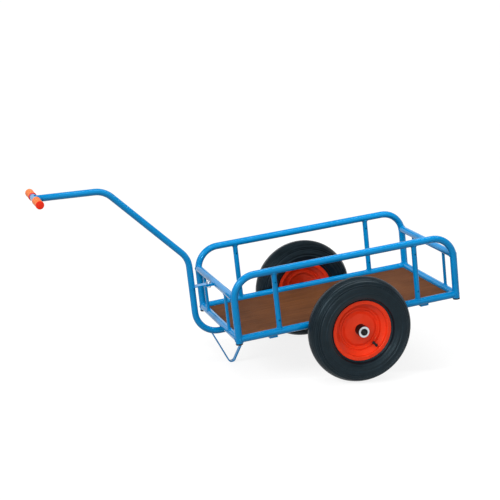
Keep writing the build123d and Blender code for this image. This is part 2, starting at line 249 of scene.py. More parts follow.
def hub_enamel(look):
    """Black gloss enamel on a turned steel barrel.

    It gives the eye near-black with a clean line of light and fine turning marks round the barrel.
    """
    material, tree, place = start_finish("black hub enamel")
    # Turning marks are 0.2 mm apart; at 2 mm they still show. The texture's bands are 2 pi / 20 apart
    turned = add(
        tree,
        "ShaderNodeTexWave",
        {"Vector": place, "Scale": 2 * math.pi / 20 / 0.002, "Distortion": 0.3, "Detail": 1.0},
        bands_direction="Y",
    )
    tone = add(
        tree,
        "ShaderNodeMix",
        {
            SHARE: turned.outputs["Fac"],
            FIRST: shade(look.hub_black, 0.7),
            SECOND: shade(look.hub_black, 1.4),
        },
        data_type="RGBA",
    )
    marks = add(
        tree, "ShaderNodeBump", {"Height": turned.outputs["Fac"], "Distance": 0.00005, "Strength": 1.0}
    )
    coat = add(
        tree,
        "ShaderNodeBsdfPrincipled",
        {
            "Base Color": tone.outputs[MIXED],
            "Roughness": 0.2,
            "IOR": 1.5,
            "Specular IOR Level": 0.1,
            "Normal": marks.outputs["Normal"],
        },
    )
    add(tree, "ShaderNodeOutputMaterial", {"Surface": coat.outputs[0]})
    return material


def tyre_rubber(look):
    """Carbon-filled rubber, moulded in a turned steel mould.

    It gives the eye a slate black with a paler bloom in patches, and a satin light on each rib.
    """
    material, tree, place = start_finish("moulded tyre rubber")
    bloom = add(tree, "ShaderNodeTexNoise", {"Vector": place, "Scale": 1 / 0.03, "Detail": 5.0})
    spread = add(
        tree, "ShaderNodeMapRange", {"Value": bloom.outputs["Fac"], "From Min": 0.35, "From Max": 0.7}
    )
    tone = add(
        tree,
        "ShaderNodeMix",
        {
            SHARE: spread.outputs["Result"],
            FIRST: shade(look.tyre_black, 0.8),
            SECOND: shade(look.tyre_black, 1.35),
        },
        data_type="RGBA",
    )
    sheen = add(
        tree, "ShaderNodeMapRange", {"Value": bloom.outputs["Fac"], "To Min": 0.26, "To Max": 0.38}
    )
    # Mould texture is under 1 mm; at 3 mm it breaks the light up as it does on the real tyre
    grain = add(tree, "ShaderNodeTexNoise", {"Vector": place, "Scale": 1 / 0.003, "Detail": 3.0})
    texture = add(
        tree, "ShaderNodeBump", {"Height": grain.outputs["Fac"], "Distance": 0.0004, "Strength": 1.0}
    )
    rubber = add(
        tree,
        "ShaderNodeBsdfPrincipled",
        {
            "Base Color": tone.outputs[MIXED],
            "Roughness": sheen.outputs["Result"],
            "IOR": 1.52,
            "Specular IOR Level": 0.2,
            "Specular Tint": (0.65, 0.88, 1.0, 1.0),
            "Normal": texture.outputs["Normal"],
        },
    )
    add(tree, "ShaderNodeOutputMaterial", {"Surface": rubber.outputs[0]})
    return material


def grip_vinyl(look):
    """Plasticised PVC, moulded over the bar in orange, with painted shade: its end faces are painted red.

    It gives the eye a warm, slightly translucent orange with a soft light and a fine pebble.
    """
    material, tree, place = start_finish("moulded vinyl grip")
    parts = add(tree, "ShaderNodeSeparateXYZ", {"Vector": place})
    reach = add(tree, "ShaderNodeMath", {0: parts.outputs["Y"]}, operation="ABSOLUTE")
    low, high = bed_box("grip_left")
    middle = add(
        tree, "ShaderNodeMath", {0: reach.outputs[0], 1: (low.y + high.y) / 2}, operation="SUBTRACT"
    )
    offset = add(tree, "ShaderNodeMath", {0: middle.outputs[0]}, operation="ABSOLUTE")
    half = (high.y - low.y) / 2
    # Painted shade: both end faces of each grip are painted red, as the orange vinyl looks in shade
    shaded_end_face = add(
        tree,
        "ShaderNodeMapRange",
        {"Value": offset.outputs[0], "From Min": half - 0.003, "From Max": half - 0.001},
    )
    cloud = add(tree, "ShaderNodeTexNoise", {"Vector": place, "Scale": 1 / 0.02, "Detail": 3.0})
    tone = add(
        tree,
        "ShaderNodeMix",
        {
            SHARE: cloud.outputs["Fac"],
            FIRST: shade(look.grip_orange, 0.88),
            SECOND: shade(look.grip_orange, 1.1),
        },
        data_type="RGBA",
    )
    painted_shade_ends = add(
        tree,
        "ShaderNodeMix",
        {
            SHARE: shaded_end_face.outputs["Result"],
            FIRST: tone.outputs[MIXED],
            SECOND: shade(look.grip_shade_red, 1),
        },
        data_type="RGBA",
    )
    # The pebble of the mould is 0.5 mm; at 3 mm it still shows
    pebble = add(tree, "ShaderNodeTexVoronoi", {"Vector": place, "Scale": 1 / 0.003})
    bumps = add(
        tree,
        "ShaderNodeBump",
        {"Height": pebble.outputs["Distance"], "Distance": 0.0003, "Strength": 0.6},
    )
    vinyl = add(
        tree,
        "ShaderNodeBsdfPrincipled",
        {
            "Base Color": painted_shade_ends.outputs[MIXED],
            "Roughness": 0.42,
            "IOR": 1.53,
            "Specular IOR Level": 0.15,
            "Subsurface Weight": 0.1,
            "Subsurface Scale": 0.003,
            "Normal": bumps.outputs["Normal"],
        },
    )
    add(tree, "ShaderNodeOutputMaterial", {"Surface": vinyl.outputs[0]})
    return material


def film_board(look):
    """Birch plywood faced with brown phenolic film, which is pressed with a fine anti-slip mesh.

    It gives the eye a matt reddish brown, with streaks of veneer showing through and scuffed patches.
    """
    material, tree, place = start_finish("film-faced plywood")
    # Veneer grain runs along the board, in streaks 9 mm wide and 15 times as long
    stretch = add(
        tree, "ShaderNodeMapping", {"Vector": place, "Scale": (1 / 0.14, 1 / 0.009, 1 / 0.14)}
    )
    grain = add(
        tree, "ShaderNodeTexNoise", {"Vector": stretch.outputs["Vector"], "Scale": 1.0, "Detail": 6.0}
    )
    scuffs = add(tree, "ShaderNodeTexNoise", {"Vector": place, "Scale": 1 / 0.12, "Detail": 4.0})
    both = add(
        tree, "ShaderNodeMath", {0: grain.outputs["Fac"], 1: scuffs.outputs["Fac"]}, operation="ADD"
    )
    spread = add(
        tree, "ShaderNodeMapRange", {"Value": both.outputs[0], "From Min": 0.75, "From Max": 1.25}
    )
    tone = add(
        tree,
        "ShaderNodeMix",
        {
            SHARE: spread.outputs["Result"],
            FIRST: shade(look.deck_brown, 0.78),
            SECOND: shade(look.deck_brown, 1.22),
        },
        data_type="RGBA",
    )
    # The pressed mesh is 1.5 mm; at 4 mm it still breaks the light up
    mesh = add(tree, "ShaderNodeTexVoronoi", {"Vector": place, "Scale": 1 / 0.004})
    texture = add(
        tree,
        "ShaderNodeBump",
        {"Height": mesh.outputs["Distance"], "Distance": 0.0004, "Strength": 1.0},
    )
    film = add(
        tree,
        "ShaderNodeBsdfPrincipled",
        {
            "Base Color": tone.outputs[MIXED],
            "Roughness": 0.7,
            "IOR": 1.5,
            "Specular IOR Level": 0.1,
            "Normal": texture.outputs["Normal"],
        },
    )
    add(tree, "ShaderNodeOutputMaterial", {"Surface": film.outputs[0]})
    return material


def zinc_plate(look):
    """Bright zinc plating on turned steel.

    It gives the eye a pale silver with a slightly blurred mirror, and dull spots.
    """
    material, tree, place = start_finish("bright zinc plate")
    spots = add(tree, "ShaderNodeTexNoise", {"Vector": place, "Scale": 1 / 0.006, "Detail": 3.0})
    tone = add(
        tree,
        "ShaderNodeMix",
        {SHARE: spots.outputs["Fac"], FIRST: shade(look.zinc, 0.8), SECOND: shade(look.zinc, 1.1)},
        data_type="RGBA",
    )
    blur = add(
        tree, "ShaderNodeMapRange", {"Value": spots.outputs["Fac"], "To Min": 0.2, "To Max": 0.42}
    )
    plate = add(
        tree,
        "ShaderNodeBsdfPrincipled",
        {"Base Color": tone.outputs[MIXED], "Metallic": 1.0, "Roughness": blur.outputs["Result"]},
    )
    add(tree, "ShaderNodeOutputMaterial", {"Surface": plate.outputs[0]})
    return material


def moulded_black(look):
    """Polyethylene, injection moulded.

    It gives the eye a dull black with a broad weak light and a faint grain.
    """
    material, tree, place = start_finish("moulded polyethylene")
    cloud = add(tree, "ShaderNodeTexNoise", {"Vector": place, "Scale": 1 / 0.012, "Detail": 3.0})
    tone = add(
        tree,
        "ShaderNodeMix",
        {
            SHARE: cloud.outputs["Fac"],
            FIRST: shade(look.plastic_black, 0.75),
            SECOND: shade(look.plastic_black, 1.3),
        },
        data_type="RGBA",
    )
    # The grain of the mould is 0.3 mm; at 2 mm it still shows
    grain = add(tree, "ShaderNodeTexNoise", {"Vector": place, "Scale": 1 / 0.002, "Detail": 2.0})
    texture = add(
        tree, "ShaderNodeBump", {"Height": grain.outputs["Fac"], "Distance": 0.0002, "Strength": 1.0}
    )
    plastic = add(
        tree,
        "ShaderNodeBsdfPrincipled",
        {
            "Base Color": tone.outputs[MIXED],
            "Roughness": 0.45,
            "IOR": 1.51,
            "Specular IOR Level": 0.2,
            "Normal": texture.outputs["Normal"],
        },
    )
    add(tree, "ShaderNodeOutputMaterial", {"Surface": plastic.outputs[0]})
    return material


FINISHES = {
    "frame_blue": powder_coat,
    "rim_red": rim_enamel,
    "hub_black": hub_enamel,
    "tyre": tyre_rubber,
    "valve_rubber": moulded_black,
    "deck_board": film_board,
    "grip_orange": grip_vinyl,
    "black_plastic": moulded_black,
    "zinc_steel": zinc_plate,
}
made_finishes = {}


def finish_for(slot, look):
    """The material of one of the record's slots, made on first use."""
    maker = FINISHES[slot]
    if maker not in made_finishes:
        made_finishes[maker] = maker(look)
    return made_finishes[maker]


def place_piece(name, shape, slot, body, look, sharp=35.0):
    """Turns a bmesh in the bed frame into an object that rides on a CAD body."""
    if name in bpy.data.objects:
        bpy.data.objects.remove(bpy.data.objects[name])
    mesh = bpy.data.meshes.new(name)
    bmesh.ops.recalc_face_normals(shape, faces=shape.faces)
    shape.transform(bed)
    shape.to_mesh(mesh)
    shape.free()
    mesh.shade_smooth()
    mesh.set_sharp_from_angle(angle=math.radians(sharp))
    mesh.materials.append(finish_for(slot, look))
    piece = bpy.data.objects.new(name, mesh)
    bpy.context.scene.collection.objects.link(piece)
    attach(piece, body)
    return piece


def lathe(shape, profile, origin, axis, steps, closed=False):
    """Turns a profile of (along, radius) round an axis; a closed profile is a hollow ring."""
    side = axis.orthogonal().normalized()
    other = axis.cross(side)
    turns = [2 * math.pi * step / steps for step in range(steps)]
    spokes = [side * math.cos(turn) + other * math.sin(turn) for turn in turns]
    rings = []
    for along, radius in profile:
        centre = origin + axis * along
        if radius == 0:
            rings.append([shape.verts.new(centre)])
        else:
            rings.append([shape.verts.new(centre + spoke * radius) for spoke in spokes])
    pairs = list(zip(rings, rings[1:] + rings[:1] if closed else rings[1:]))
    for first, second in pairs:
        for step in range(steps):
            corners = [first[step % len(first)], first[(step + 1) % len(first)]]
            corners += [second[(step + 1) % len(second)], second[step % len(second)]]
            corners = list(dict.fromkeys(corners))
            if len(corners) > 2:
                shape.faces.new(corners)


def prism(shape, outline, origin, axis, length, bevel):
    """A closed outline in the plane across an axis, run along it, with its ends' edges bevelled."""
    side = axis.orthogonal().normalized()
    other = axis.cross(side)
    near = [shape.verts.new(origin + side * u + other * v) for u, v in outline]
    far = [shape.verts.new(vertex.co + axis * length) for vertex in near]
    faces = [shape.faces.new(near), shape.faces.new(list(reversed(far)))]
    count = len(near)
    for step in range(count):
        after = (step + 1) % count
        shape.faces.new([near[after], near[step], far[step], far[after]])
    edges = {edge for face in faces for edge in face.edges}
    bmesh.ops.bevel(shape, geom=list(edges), offset=bevel, segments=2, affect="EDGES")


BEAD_SIDES = 8            # sides of a bead's cross-section
RIPPLE = 0.16             # part of a bead's radius
RIPPLE_STEPS = 4          # points of the path to each ripple


def bead_along(shape, path, outs, ups, look, closed):
    """A rippled weld bead along a path; outs and ups span the bead's cross-section at each point."""
    turns = [2 * math.pi * step / BEAD_SIDES for step in range(BEAD_SIDES)]
    walked = 0.0
    rings = []
    for index, (point, out, rise) in enumerate(zip(path, outs, ups)):
        if index:
            walked += (point - path[index - 1]).length
        radius = look.weld_radius * (1 + RIPPLE * math.sin(2 * math.pi * walked / look.weld_pitch))
        spokes = [(out * math.cos(turn) + rise * math.sin(turn)) * radius for turn in turns]
        rings.append([shape.verts.new(point + spoke) for spoke in spokes])
    joined = rings[1:] + rings[:1] if closed else rings[1:]
    for first, second in zip(rings, joined):
        for step in range(BEAD_SIDES):
            after = (step + 1) % BEAD_SIDES
            shape.faces.new([first[step], first[after], second[after], second[step]])
    if not closed:
        shape.faces.new(rings[0])
        shape.faces.new(list(reversed(rings[-1])))


def saddle_bead(shape, centre, away, along, bar_radius, rail_radius, look, aside=0.0):
    """The bead round a bar that meets a rail square: centre is on the rail's axis, aside is off it."""
    sideways = away.cross(along)
    steps = max(40, int(RIPPLE_STEPS * 2 * math.pi * bar_radius / look.weld_pitch))
    path, outs = [], []
    for step in range(steps):
        turn = 2 * math.pi * step / steps
        out = along * math.cos(turn) + sideways * math.sin(turn)
        offset = bar_radius * math.sin(turn) + aside
        rise = math.sqrt(max(0.0, rail_radius**2 - offset**2))
        path.append(centre + out * bar_radius + sideways * aside + away * rise)
        outs.append(out)
    bead_along(shape, path, outs, [away] * steps, look, closed=True)


def straight_bead(shape, start, stop, out, look):
    """A bead along a straight corner."""
    run = stop - start
    steps = max(8, int(RIPPLE_STEPS * run.length / look.weld_pitch))
    path = [start + run * step / steps for step in range(steps + 1)]
    away = run.normalized().cross(out)
    bead_along(shape, path, [out] * len(path), [away] * len(path), look, closed=False)


FILL_TURN = 46            # degrees up and down from the corner's outermost line
FILL_STEPS = 24
FILL_WALL = 0.0025
FILL_OVERLAP = 0.0015     # under the rail's wall, and into the post
FILL_SINK = 0.0001        # under the rail's surface


def corner_fill(shape, post, inward, outward, radius):
    """Weld metal at the outside of a corner, where an end rail's tip meets the post.

    It carries on the rail's wall over the gap between the side rail's notch and the post's notch.
    """
    outer, inner = radius - FILL_SINK, radius - FILL_WALL
    rings = []
    for step in range(FILL_STEPS + 1):
        turn = math.radians(FILL_TURN * (2 * step / FILL_STEPS - 1))
        spoke = outward * math.cos(turn) + Z * math.sin(turn)
        start = radius * math.cos(turn) + FILL_OVERLAP
        stop = radius * abs(math.sin(turn)) - FILL_OVERLAP
        corners = ((start, outer), (stop, outer), (stop, inner), (start, inner))
        rings.append([shape.verts.new(post + inward * run + spoke * rise) for run, rise in corners])
    for first, second in zip(rings, rings[1:]):
        for side in range(4):
            after = (side + 1) % 4
            shape.faces.new([first[side], first[after], second[after], second[side]])
    shape.faces.new(rings[0])
    shape.faces.new(list(reversed(rings[-1])))


class HANDCART_OT_coatings(bpy.types.Operator):
    """Gives every CAD piece the finish of its slot."""

    bl_idname = "handcart.coatings"
    bl_label = "Coat the CAD pieces"

    def execute(self, context):
        look = context.scene.hand_cart
        for part in frame["record"]["subparts"]:
            mesh = nodes[part["node"]].data
            coat = finish_for(part["material_slot"], look)
            for place in range(len(mesh.materials)):
                mesh.materials[place] = coat
            if not mesh.materials:
                mesh.materials.append(coat)
        return {"FINISHED"}


class HANDCART_OT_frame_welds(bpy.types.Operator):
    """Lays weld beads where the frame's tubes meet."""

    bl_idname = "handcart.frame_welds"
    bl_label = "Weld the frame"

    def execute(self, context):
        look = context.scene.hand_cart
        shape = bmesh.new()
        low, high = bed_box("side_rail_left")
        tube = (high.z - low.z) / 2
        half_width = (low.y + high.y) / 2
        hoop_top = bed_box("side_hoop_left")[1].z - tube
        panel_low, panel_high = bed_box("panel_rail_front")
        panel_height = (panel_low.z + panel_high.z) / 2
        half_length = (panel_low.x + panel_high.x) / 2
        for side, way in SIDES.items():
            y = way * half_width
            for end, fore in ENDS.items():
                low, high = bed_box(f"side_bar_{end}_{side}")
                bar = (low + high) / 2
                radius = (high.y - low.y) / 2
                saddle_bead(shape, Vector((bar.x, y, 0)), Z, X, radius, tube, look)
                saddle_bead(shape, Vector((bar.x, y, hoop_top)), -Z, X, radius, tube, look)
                x = fore * half_length
                low, high = bed_box(f"panel_bar_{end}_{side}")
                bar = (low + high) / 2
                radius = (high.y - low.y) / 2
                for height, away in ((0, Z), (panel_height, -Z)):
                    aside = (bar - Vector((x, 0, 0))).dot(away.cross(Y))
                    saddle_bead(shape, Vector((x, bar.y, height)), away, Y, radius, tube, look, aside)
                for height in (0, panel_height):
                    saddle_bead(shape, Vector((x, y, height)), -Y * way, Z, tube, tube, look)
                saddle_bead(shape, Vector((x, y, 0)), -X * fore, Z, tube, tube, look)
                corner_fill(shape, Vector((x, y, 0)), -Y * way, X * fore, tube)
        place_piece("frame_welds", shape, "frame_blue", "chassis", look)
        return {"FINISHED"}


PLATE_SEAM_HEIGHT = -0.0118   # where the axle plates meet the side rails
PLATE_SEAM_INSET = 0.004      # from the plate's edges
PLATE_RING_RISE = 0.02        # part of the axle's radius, so that the ring lies flat on the plate
CROSS_SEAM_INSET = 0.004      # past the side rail's inner edge
CROSS_SEAM_RISE = 0.0005      # over the cross member
NECK_RUN = 0.253              # the drawbar's last stretch: its length ahead, and how far it rises
NECK_RISE = 0.015


class HANDCART_OT_gear_welds(bpy.types.Operator):
    """Lays weld beads on the axle plates, cross members, drawbar and handle."""

    bl_idname = "handcart.gear_welds"
    bl_label = "Weld the running gear"

    def execute(self, context):
        look = context.scene.hand_cart
        shape = bmesh.new()
        low, high = bed_box("axle")
        axle = (low + high) / 2
        axle_radius = (high.z - low.z) / 2
        low, high = bed_box("drawbar")
        bar_radius = (high.y - low.y) / 2
        for side, way in SIDES.items():
            low, high = bed_box(f"axle_plate_{side}")
            reach = (high.x - low.x) / 2 - PLATE_SEAM_INSET
            for face, out in ((low.y, -1), (high.y, 1)):
                ring = Vector((axle.x, face, axle.z))
                saddle_bead(shape, ring, Y * out, X, axle_radius, axle_radius * PLATE_RING_RISE, look)
                seam = Vector((axle.x, face, PLATE_SEAM_HEIGHT))
                straight_bead(shape, seam - X * reach, seam + X * reach, Y * out, look)
            inner = bed_box(f"side_rail_{side}")[0 if way > 0 else 1].y
            for end in ENDS:
                low, high = bed_box(f"cross_member_{end}")
                y, z = inner + way * CROSS_SEAM_INSET, high.z + CROSS_SEAM_RISE
                straight_bead(shape, Vector((low.x, y, z)), Vector((high.x, y, z)), -Y * way, look)
        saddle_bead(shape, axle, X, Y, bar_radius, axle_radius, look)
        low, high = bed_box("handle_crossbar")
        crossbar = (low + high) / 2
        crossbar_radius = (high.z - low.z) / 2
        back = -Vector((NECK_RUN, 0, NECK_RISE)).normalized()
        saddle_bead(shape, crossbar, back, Y, bar_radius, crossbar_radius, look)
        place_piece("gear_welds", shape, "frame_blue", "chassis", look)
        return {"FINISHED"}


BOLT_AHEAD = 0.014        # of the panel rail's surface
WASHER_THICK = 0.0016
HEAD_THICK = 0.0053
NUT_THICK = 0.0065
HEXAGON_BEVEL = 0.0006


class HANDCART_OT_tie_bolt(bpy.types.Operator):
    """Puts the bolt, washers and nut through the tie."""

    bl_idname = "handcart.tie_bolt"
    bl_label = "Bolt the tie"

    def execute(self, context):
        look = context.scene.hand_cart
        strap_top = bed_box("tie_strap")[1].z
        lug_under = bed_box("tie_lug")[0].z
        x = bed_box("panel_rail_front")[1].x + BOLT_AHEAD
        half_point = look.bolt_flats / 2 / math.cos(math.pi / 6)
        corners = [
            (half_point * math.cos(math.pi * turn / 3), half_point * math.sin(math.pi * turn / 3))
            for turn in range(6)
        ]
        shape = bmesh.new()
        washer = [
            (0, 0.0045), (0, 0.009), (0.0004, 0.0094),
            (WASHER_THICK - 0.0004, 0.0094), (WASHER_THICK, 0.009), (WASHER_THICK, 0.0045),
        ]
        for height, way, thick in ((strap_top, Z, HEAD_THICK), (lug_under, -Z, NUT_THICK)):
            face = Vector((x, 0, height))
            lathe(shape, washer, face, way, 40, closed=True)
            prism(shape, corners, face + way * WASHER_THICK, way, thick, HEXAGON_BEVEL)
        shank = [(0, 0), (0, 0.004), (0.019, 0.004), (0.02, 0.0034), (0.02, 0)]
        lathe(shape, shank, Vector((x, 0, strap_top + 0.001)), -Z, 24)
        place_piece("tie_bolt", shape, "zinc_steel", "chassis", look, 25)
        return {"FINISHED"}


SHOULDER_OUT = 0.041      # the tread's edge, outboard of the tyre's middle and under its crown
SHOULDER_DROP = 0.015
GROOVE_LIP = 0.0004       # a groove's rounded edge: its width and its depth
GROOVE_LIP_DROP = 0.0003
GROOVE_SLOPE = 0.0005     # a groove's side, measured across

# The wall is an arc from the shoulder over the belly to the rim's edge
WALL_CENTRE = (-0.0008, -0.0278)   # outboard of the tyre's middle, past the shoulder's radius
WALL_ARC = 0.0501
WALL_FIRST, WALL_LAST = 33.6, -57.5   # degrees over the way straight outboard
WALL_STEPS = 128

# Rings moulded on the wall, as (radius, height, width), and the ledge that the wall steps down by
WALL_RINGS = (
    (0.1815, -0.0018, 0.0013),
    (0.1780, 0.0006, 0.0014),
    (0.1745, -0.0018, 0.0013),
    (0.1500, -0.0014, 0.0030),
    (0.1420, 0.0006, 0.0030),
    (0.1265, 0.0008, 0.0022),
    (0.1185, -0.0040, 0.0034),
)
LEDGE_RADIUS = 0.1685
LEDGE_WIDTH = 0.002
LEDGE_DEPTH = 0.002
LEDGE_END = 0.135         # where the ledge has run out, and the width that it fades over
LEDGE_FADE = 0.025

# The bead under the rim's flange as (inboard of the wall's end, radius), then the inside
BEAD_PROFILE = ((0.0, 0.106), (0.004, 0.1018), (0.009, 0.1018), (0.009, 0.1146))
INSIDE_PROFILE = ((0.034, 0.135), (0.039, 0.152), (0.034, 0.178), (0.015, 0.189))


def clamped(share):
    """A share, kept between nought and one."""
    return min(1.0, max(0.0, share))


def tyre_profile(look):
    """Half of the tyre from the crown round the bead to the inside, as (outboard, radius)."""
    low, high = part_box("tyre_left")
    radius = (high.x - low.x) / 2
    crown = (SHOULDER_OUT**2 + SHOULDER_DROP**2) / (2 * SHOULDER_DROP)

    def crown_radius(outboard):
        return radius - crown + math.sqrt(crown**2 - outboard**2)

    points = [(0.0, radius)]
    half = look.groove_width / 2
    for pair in range(look.groove_pairs):
        middle = (pair + 0.5) * look.rib_pitch
        inner, outer = middle - half, middle + half
        floor = crown_radius(middle) - look.groove_depth
        points += [
            (inner - GROOVE_LIP, crown_radius(inner)),
            (inner, crown_radius(inner) - GROOVE_LIP_DROP),
            (inner + GROOVE_SLOPE, floor),
            (outer - GROOVE_SLOPE, floor),
            (outer, crown_radius(outer) - GROOVE_LIP_DROP),
            (outer + GROOVE_LIP, crown_radius(outer)),
        ]
    edge = SHOULDER_OUT - 0.0002
    points.append((edge, crown_radius(edge)))

    middle_out, middle_radius = WALL_CENTRE[0], radius - SHOULDER_DROP + WALL_CENTRE[1]
    first, last = math.radians(WALL_FIRST), math.radians(WALL_LAST)
    for step in range(1, WALL_STEPS + 1):
        turn = first + (last - first) * step / WALL_STEPS
        place = middle_radius + WALL_ARC * math.sin(turn)
        arc = WALL_ARC
        for ring, height, width in WALL_RINGS:
            arc += height * math.exp(-(((place - ring) / width) ** 2))
        ledge = clamped((LEDGE_RADIUS - place) / LEDGE_WIDTH)
        arc -= LEDGE_DEPTH * ledge * clamped((place - LEDGE_END) / LEDGE_FADE)
        points.append((middle_out + arc * math.cos(turn), middle_radius + arc * math.sin(turn)))
    edge = points[-1][0]
    points += [(edge - inboard, place) for inboard, place in BEAD_PROFILE]
    return points + list(INSIDE_PROFILE)


class HANDCART_OT_tyres(bpy.types.Operator):
    """Moulds both tyres with their tread ribs and wall rings."""

    bl_idname = "handcart.tyres"
    bl_label = "Mould the tyres"

    def execute(self, context):
        look = context.scene.hand_cart
        half = tyre_profile(look)
        mirrored = [(-outboard, radius) for outboard, radius in reversed(half) if outboard > 0]
        level = bed.inverted()
        for side, way in SIDES.items():
            shape = bmesh.new()
            lathe(shape, half + mirrored, level @ wheels[side], Y * way, 160, closed=True)
            tyre = place_piece(f"ribbed_tyre_{side}", shape, "tyre", f"wheel_{side}", look, 40)
            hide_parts(f"tyre_{side}")
        return {"FINISHED"}


# The axle's end cap with its moulded ring, as (outboard, radius)
CAP_PROFILE = (
    (0.0, 0.0), (0.0, 0.0128), (0.0026, 0.013), (0.0036, 0.0126), (0.004, 0.0118),
    (0.0037, 0.0106), (0.0018, 0.0098), (0.0012, 0.0088), (0.0018, 0.0078), (0.0036, 0.007),
    (0.004, 0.0062), (0.0036, 0.0054), (0.0022, 0.0046), (0.0018, 0.003), (0.0018, 0.0),
)

VALVE_TURN = 37.3                # degrees behind straight down
VALVE_FOOT = (0.0735, 0.007)     # from the wheel's centre, and outboard
VALVE_TIP = (0.0935, 0.0185)
# The valve's rubber base as (along, radius), and its stem and cap as (part of the length, radius)
VALVE_BASE = [
    (0.0, 0.0), (0.0, 0.0056), (0.003, 0.0059), (0.0055, 0.0056), (0.0072, 0.0047), (0.009, 0.0044),
]
VALVE_STEM = [(0.66, 0.0042), (0.67, 0.0052), (0.95, 0.005), (1.0, 0.004), (1.0, 0.0)]


class HANDCART_OT_wheel_fittings(bpy.types.Operator):
    """Adds the axle's end caps and the valves."""

    bl_idname = "handcart.wheel_fittings"
    bl_label = "Fit caps and valves"

    def execute(self, context):
        look = context.scene.hand_cart
        level = bed.inverted()
        turn = math.radians(VALVE_TURN)
        down = Vector((-math.sin(turn), 0, -math.cos(turn)))
        for side, way in SIDES.items():
            centre = level @ wheels[side]
            out = Y * way
            low, high = bed_box(f"axle_cap_{side}")
            face = low.y if way > 0 else high.y
            shape = bmesh.new()
            lathe(shape, CAP_PROFILE, Vector((centre.x, face, centre.z)), out, 48)
            cap = place_piece(f"axle_end_cap_{side}", shape, "black_plastic", "chassis", look)
            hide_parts(f"axle_cap_{side}")

            foot, tip = [centre + down * fall + out * lean for fall, lean in (VALVE_FOOT, VALVE_TIP)]
            length = (tip - foot).length
            valve_profile = VALVE_BASE + [(length * part, radius) for part, radius in VALVE_STEM]
            shape = bmesh.new()
            lathe(shape, valve_profile, foot, (tip - foot).normalized(), 32)
            valve = place_piece(f"tube_valve_{side}", shape, "valve_rubber", f"wheel_{side}", look)
            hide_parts(f"valve_{side}")
        return {"FINISHED"}


GRIP_RINGS = 9
GRIP_RINGS_FROM = 0.0064  # where the rings start, from the tip
GRIP_RINGS_TO = 0.007     # where they end, from the inner end
GRIP_GROUND = 0.0006      # between the rings, under the grip's radius
GRIP_BORE = 0.0126        # radius where the crossbar goes in
GRIP_BORE_DEPTH = 0.004

# The end face as (from the tip, part of the radius), one ring as (part of the pitch, under the
# radius), and the inner edge as (from the inner end, under the radius)
GRIP_FACE = (
    (0.0, 0.0), (0.0, 0.45), (0.0006, 0.5), (0.0004, 0.82), (0.0008, 0.93), (0.0028, 1.0),
    (0.0056, 1.0),
)
GRIP_RING = ((0.12, 0.0014), (0.3, 0.0008), (0.5, 0.0006), (0.7, 0.0008), (0.88, 0.0014))
GRIP_EDGE = ((0.0062, 0.0), (0.0012, 0.0), (0.0003, 0.0008), (0.0, 0.002))


class HANDCART_OT_grips(bpy.types.Operator):
    """Moulds the two grips on the crossbar."""

    bl_idname = "handcart.grips"
    bl_label = "Mould the grips"

    def execute(self, context):
        look = context.scene.hand_cart
        for side, way in SIDES.items():
            low, high = bed_box(f"grip_{side}")
            middle = (low + high) / 2
            radius = (high.z - low.z) / 2
            length = high.y - low.y
            tip = high.y if way > 0 else low.y
            profile = [(along, radius * part) for along, part in GRIP_FACE]
            profile.append((GRIP_RINGS_FROM, radius - GRIP_GROUND))
            pitch = (length - GRIP_RINGS_TO - GRIP_RINGS_FROM) / GRIP_RINGS
            for ring in range(GRIP_RINGS):
                for part, sink in GRIP_RING:
                    profile.append((GRIP_RINGS_FROM + pitch * (ring + part), radius - sink))
            profile.append((length - GRIP_RINGS_TO, radius - GRIP_GROUND))
            profile += [(length - back, radius - sink) for back, sink in GRIP_EDGE]
            profile += [(length, GRIP_BORE), (length - GRIP_BORE_DEPTH, GRIP_BORE)]
            shape = bmesh.new()
            lathe(shape, profile, Vector((middle.x, tip, middle.z)), -Y * way, 56)
            grip = place_piece(f"ribbed_grip_{side}", shape, "grip_orange", "chassis", look)
            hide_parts(f"grip_{side}")
        return {"FINISHED"}


def shown_rays(tree):
    """One for the rays that show the room: straight from the camera, off gloss or through glass."""
    path = add(tree, "ShaderNodeLightPath").outputs
    gloss = add(
        tree,
        "ShaderNodeMath",
        {0: path["Is Camera Ray"], 1: path["Is Glossy Ray"]},
        operation="MAXIMUM",
    )
    shown = add(
        tree,
        "ShaderNodeMath",
        {0: gloss.outputs[0], 1: path["Is Transmission Ray"]},
        operation="MAXIMUM",
    )
    return shown.outputs[0]


FLOOR_REACH = 100.0

# The camera as it was solved from the photograph, in the level bed frame
CAMERA_LENS = 97.4734
CAMERA_PLACE = Vector((1.6664, 4.7713, 1.6060))
CAMERA_RIGHT = Vector((-0.946236, 0.304276, -0.109787))
CAMERA_DOWN = Vector((0.181485, 0.218419, -0.958831))
CAMERA_FORWARD = Vector((-0.267770, -0.927205, -0.261898))


